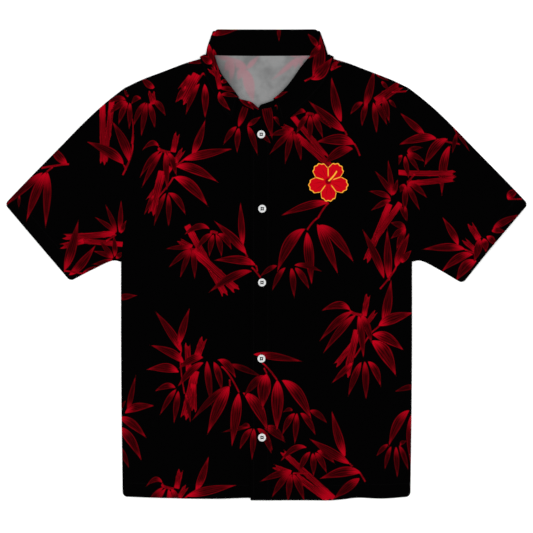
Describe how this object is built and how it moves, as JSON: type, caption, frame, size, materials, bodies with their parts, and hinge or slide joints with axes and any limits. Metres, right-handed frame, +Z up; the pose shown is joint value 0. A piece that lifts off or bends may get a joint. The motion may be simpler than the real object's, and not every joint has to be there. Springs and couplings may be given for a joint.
{
  "type": "hawaiian shirt",
  "caption": "Short-sleeved button-through shirt with a turned-down collar and a placket, in black cloth with red bamboo leaves, laid flat.",
  "frame": {"origin": "on the surface that the shirt lies on, under the middle of the box round the whole shirt", "axes": "+Z up off the surface, out of the fronts; +Y from hem to neck; +X to the right as one looks down on the fronts, which is the wearer's left"},
  "size_m": [0.8818, 0.7984, 0.0089],
  "materials": {
    "printed_cloth": "smooth plain-woven cloth, black ground with a red bamboo leaf print, pale grey on the wrong side",
    "collar_cloth": "the same cloth over interfacing, topstitched near its edges",
    "button_plastic": "polished pearl white resin",
    "sewing_thread": "black sewing thread, white on the buttons"
  },
  "bodies": {
    "root": {"back": "printed_cloth", "front_right": "printed_cloth", "front_left": "printed_cloth", "placket": "printed_cloth", "sleeve_right": "printed_cloth", "sleeve_left": "printed_cloth", "collar_stand": "collar_cloth", "collar_leaf": "collar_cloth", "button_1": "button_plastic", "button_2": "button_plastic", "button_3": "button_plastic", "button_4": "button_plastic", "button_5": "button_plastic"}
  },
  "joints": []
}
